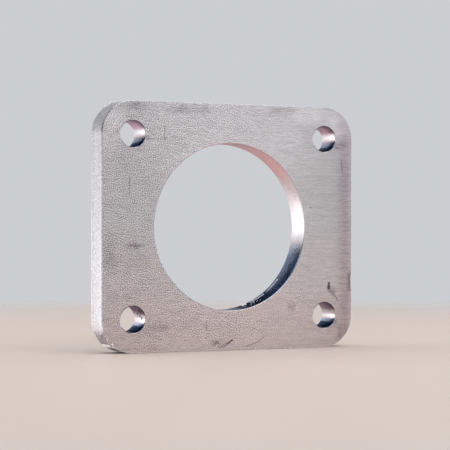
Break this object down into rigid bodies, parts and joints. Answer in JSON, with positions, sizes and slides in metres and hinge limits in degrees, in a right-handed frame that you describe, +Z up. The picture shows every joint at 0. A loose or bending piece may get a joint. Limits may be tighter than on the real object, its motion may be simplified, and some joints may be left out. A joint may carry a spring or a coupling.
{
  "type": "laser cut steel flange",
  "caption": "Flat laser cut steel flange plate, nearly square with round corners, a large central bore and a bolt hole near each corner.",
  "frame": {"origin": "centre of the bore, halfway through the plate's thickness", "axes": "+Y along the bore from the front face to the back face, +X to the right along the plate's width, +Z up along its height"},
  "size_m": [0.102, 0.01, 0.09],
  "materials": {
    "steel": "plain mill finish with a fine level grain on both faces, brighter laser cut walls"
  },
  "bodies": {
    "root": {"flange_plate": "steel"}
  },
  "joints": []
}
